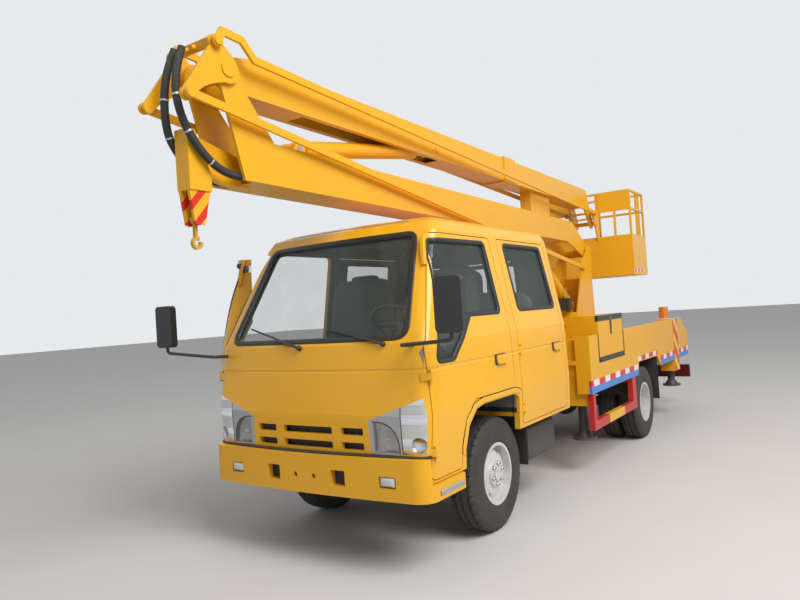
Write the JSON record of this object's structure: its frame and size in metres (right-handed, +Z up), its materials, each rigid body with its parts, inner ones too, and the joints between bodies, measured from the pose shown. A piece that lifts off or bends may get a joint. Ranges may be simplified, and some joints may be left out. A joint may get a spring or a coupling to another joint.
{
  "type": "truck-mounted folding-boom work platform",
  "caption": "Double-cab light truck carrying a slewing turret, a two-part folding boom with a self-levelling work basket, outrigger legs and tool boxes.",
  "frame": {"origin": "top of the deck, on the centre plane, above the rear axle", "axes": "+X to the truck's left, +Y to its rear, +Z up; the cab faces -Y and the ground is at Z -1.0 m"},
  "size_m": [2.8211, 7.6479, 3.0978],
  "materials": {
    "yellow_paint": "gloss",
    "red_paint": "gloss",
    "dark_paint": "satin",
    "silver_paint": "satin",
    "tyre_rubber": "matte",
    "flap_rubber": "matte",
    "window_glass": "gloss",
    "lamp_plastic": "gloss",
    "amber_plastic": "gloss",
    "dark_plastic": "matte",
    "hose_rubber": "satin",
    "seat_fabric": "matte",
    "engine_iron": "matte",
    "rod_chrome": "polished",
    "pin_steel": "satin"
  },
  "bodies": {
    "truck": {"bumper": "yellow_paint", "cab_glass": "window_glass", "cab_mounts": "dark_paint", "cab_shell": "yellow_paint", "chassis_frame": "dark_paint", "dashboard": "dark_plastic", "deck": "yellow_paint", "driveline": "engine_iron", "engine": "engine_iron", "front_axle": "dark_paint", "grille": "yellow_paint", "guards": "red_paint", "headlamps": "lamp_plastic", "mirrors": "dark_plastic", "mudguards": "flap_rubber", "rear_axle": "dark_paint", "rear_lamps": "amber_plastic", "rest_pad": "flap_rubber", "seats": "seat_fabric", "side_tanks": "dark_paint", "subframe": "yellow_paint"},
    "front_left_door": {"front_left_door": "yellow_paint", "front_left_glass": "window_glass"},
    "front_right_door": {"front_right_door": "yellow_paint", "front_right_glass": "window_glass"},
    "rear_left_door": {"rear_left_door": "yellow_paint", "rear_left_glass": "window_glass"},
    "rear_right_door": {"rear_right_door": "yellow_paint", "rear_right_glass": "window_glass"},
    "left_knuckle": {"left_knuckle": "dark_paint"},
    "front_left_wheel": {"front_left_rim": "silver_paint", "front_left_tyre": "tyre_rubber"},
    "rear_left_wheel": {"rear_left_rim": "silver_paint", "rear_left_tyre": "tyre_rubber"},
    "left_hatch": {"left_hatch": "yellow_paint"},
    "right_knuckle": {"right_knuckle": "dark_paint"},
    "front_right_wheel": {"front_right_rim": "silver_paint", "front_right_tyre": "tyre_rubber"},
    "rear_right_wheel": {"rear_right_rim": "silver_paint", "rear_right_tyre": "tyre_rubber"},
    "right_hatch": {"right_hatch": "yellow_paint"},
    "front_left_leg": {"front_left_leg": "dark_paint"},
    "front_right_leg": {"front_right_leg": "dark_paint"},
    "rear_left_leg": {"rear_left_leg": "dark_paint"},
    "rear_right_leg": {"rear_right_leg": "dark_paint"},
    "turret": {"turret": "yellow_paint"},
    "lower_boom": {"lower_boom": "yellow_paint", "left_hoses": "hose_rubber", "right_hoses": "hose_rubber"},
    "level_crank": {"level_crank": "yellow_paint"},
    "lower_rods": {"lower_rods": "yellow_paint"},
    "upper_boom": {"upper_boom": "yellow_paint"},
    "upper_rods": {"upper_rods": "yellow_paint"},
    "basket": {"basket": "yellow_paint"},
    "lift_barrel": {"lift_barrel": "yellow_paint"},
    "lift_rod": {"lift_rod": "rod_chrome"},
    "elbow_pin": {"elbow_pin": "pin_steel"},
    "elbow_barrel": {"elbow_barrel": "yellow_paint"},
    "elbow_piston": {"elbow_piston": "pin_steel"},
    "elbow_rod": {"elbow_rod": "rod_chrome"},
    "hook": {"hook": "pin_steel"}
  },
  "joints": [
    {"name": "front_left_door_hinge", "type": "hinge", "parent": "truck", "child": "front_left_door", "pos_m": [0.876, -4.275, 0], "axis": [0, 0, -1], "range_deg": [0, 70]},
    {"name": "front_right_door_hinge", "type": "hinge", "parent": "truck", "child": "front_right_door", "pos_m": [-0.876, -4.275, 0], "axis": [0, 0, 1], "range_deg": [-43, 27]},
    {"name": "rear_left_door_hinge", "type": "hinge", "parent": "truck", "child": "rear_left_door", "pos_m": [0.876, -3.04, 0], "axis": [0, 0, -1], "range_deg": [0, 70]},
    {"name": "rear_right_door_hinge", "type": "hinge", "parent": "truck", "child": "rear_right_door", "pos_m": [-0.876, -3.04, 0], "axis": [0, 0, 1], "range_deg": [0, 70]},
    {"name": "left_steering", "type": "hinge", "parent": "truck", "child": "left_knuckle", "pos_m": [0.6, -3.36, -0.615], "axis": [0, 0, 1], "range_deg": [-32, 32]},
    {"name": "front_left_spin", "type": "hinge", "parent": "left_knuckle", "child": "front_left_wheel", "pos_m": [0.7, -3.36, -0.615], "axis": [1, 0, 0], "continuous": true},
    {"name": "rear_left_spin", "type": "hinge", "parent": "truck", "child": "rear_left_wheel", "pos_m": [0.712, 0, -0.615], "axis": [1, 0, 0], "continuous": true},
    {"name": "left_hatch_hinge", "type": "hinge", "parent": "truck", "child": "left_hatch", "pos_m": [0.954, -1.152, -0.022], "axis": [0, 1, 0], "range_deg": [0, 120]},
    {"name": "right_steering", "type": "hinge", "parent": "truck", "child": "right_knuckle", "pos_m": [-0.6, -3.36, -0.615], "axis": [0, 0, 1], "range_deg": [-32, 32]},
    {"name": "front_right_spin", "type": "hinge", "parent": "right_knuckle", "child": "front_right_wheel", "pos_m": [-0.7, -3.36, -0.615], "axis": [1, 0, 0], "continuous": true},
    {"name": "rear_right_spin", "type": "hinge", "parent": "truck", "child": "rear_right_wheel", "pos_m": [-0.712, 0, -0.615], "axis": [1, 0, 0], "continuous": true},
    {"name": "right_hatch_hinge", "type": "hinge", "parent": "truck", "child": "right_hatch", "pos_m": [-0.954, -1.152, -0.022], "axis": [0, -1, 0], "range_deg": [0, 120]},
    {"name": "front_left_leg_slide", "type": "slide", "parent": "truck", "child": "front_left_leg", "axis": [0, 0, -1], "range_m": [0, 0.3]},
    {"name": "front_right_leg_slide", "type": "slide", "parent": "truck", "child": "front_right_leg", "axis": [0, 0, -1], "range_m": [0, 0.3]},
    {"name": "rear_left_leg_slide", "type": "slide", "parent": "truck", "child": "rear_left_leg", "axis": [0, 0, -1], "range_m": [0, 0.372]},
    {"name": "rear_right_leg_slide", "type": "slide", "parent": "truck", "child": "rear_right_leg", "axis": [0, 0, -1], "range_m": [0, 0.372]},
    {"name": "slew", "type": "hinge", "parent": "truck", "child": "turret", "pos_m": [0, 0.48, 0.285], "axis": [0, 0, 1], "range_deg": [-180, 180]},
    {"name": "lower_lift", "type": "hinge", "parent": "turret", "child": "lower_boom", "pos_m": [0, 0.73, 1.113], "axis": [-1, 0, 0], "range_deg": [0, 75]},
    {"name": "crank_level", "type": "hinge", "parent": "lower_boom", "child": "level_crank", "pos_m": [0, -4.993, 1.892], "axis": [1, 0, 0], "range_deg": [0, 75.1]},
    {"name": "lower_rods_hinge", "type": "hinge", "parent": "turret", "child": "lower_rods", "pos_m": [0, 0.449, 0.915], "axis": [-1, 0, 0], "range_deg": [0, 75.1]},
    {"name": "upper_lift", "type": "hinge", "parent": "level_crank", "child": "upper_boom", "pos_m": [0, -4.993, 1.892], "axis": [1, 0, 0], "range_deg": [0, 60]},
    {"name": "upper_rods_hinge", "type": "hinge", "parent": "level_crank", "child": "upper_rods", "pos_m": [0, -5.075, 2.018], "axis": [1, 0, 0], "range_deg": [0, 60.1]},
    {"name": "basket_level", "type": "hinge", "parent": "upper_boom", "child": "basket", "pos_m": [0, 1.112, 1.5], "axis": [-1, 0, 0], "range_deg": [0, 60.1]},
    {"name": "lift_swing", "type": "hinge", "parent": "turret", "child": "lift_barrel", "pos_m": [0, 0.36, 0.47], "axis": [-1, 0, 0], "range_deg": [0, 60]},
    {"name": "lift_stroke", "type": "slide", "parent": "lift_barrel", "child": "lift_rod", "axis": [0, -0.8555, 0.5177], "range_m": [0, 0.782]},
    {"name": "elbow_turn", "type": "hinge", "parent": "lower_boom", "child": "elbow_pin", "pos_m": [0, -4.345, 1.59], "axis": [1, 0, 0], "range_deg": [-6, 72.5]},
    {"name": "elbow_swing", "type": "hinge", "parent": "elbow_pin", "child": "elbow_barrel", "pos_m": [0, -4.345, 1.59], "axis": [1, 0, 0], "range_deg": [-6, 58]},
    {"name": "elbow_stroke", "type": "slide", "parent": "elbow_barrel", "child": "elbow_piston", "axis": [0, 0.9888, 0.1491], "range_m": [0, 0.728]},
    {"name": "elbow_reach", "type": "slide", "parent": "elbow_piston", "child": "elbow_rod", "axis": [0, 0.9888, 0.1491], "range_m": [0, 0.583]},
    {"name": "hook_swing", "type": "hinge", "parent": "lower_boom", "child": "hook", "pos_m": [0, -5.14, 1.085], "axis": [1, 0, 0], "range_deg": [-85, 85]}
  ],
  "couplings": [
    {"joint": "right_steering", "follows": "left_steering", "ratio": 1},
    {"joint": "crank_level", "follows": "lower_lift", "ratio": 1},
    {"joint": "lower_rods_hinge", "follows": "lower_lift", "ratio": 1},
    {"joint": "upper_rods_hinge", "follows": "upper_lift", "ratio": 1},
    {"joint": "basket_level", "follows": "upper_lift", "ratio": 1},
    {"joint": "lift_swing", "follows": "lower_lift", "ratio": 0.794},
    {"joint": "lift_stroke", "follows": "lower_lift", "m_per_rad": 0.596},
    {"joint": "elbow_turn", "follows": "lower_lift", "ratio": 0.963},
    {"joint": "elbow_swing", "follows": "upper_lift", "ratio": 0.963},
    {"joint": "elbow_stroke", "follows": "lower_lift", "m_per_rad": 0.555},
    {"joint": "elbow_reach", "follows": "upper_lift", "m_per_rad": 0.555}
  ]
}
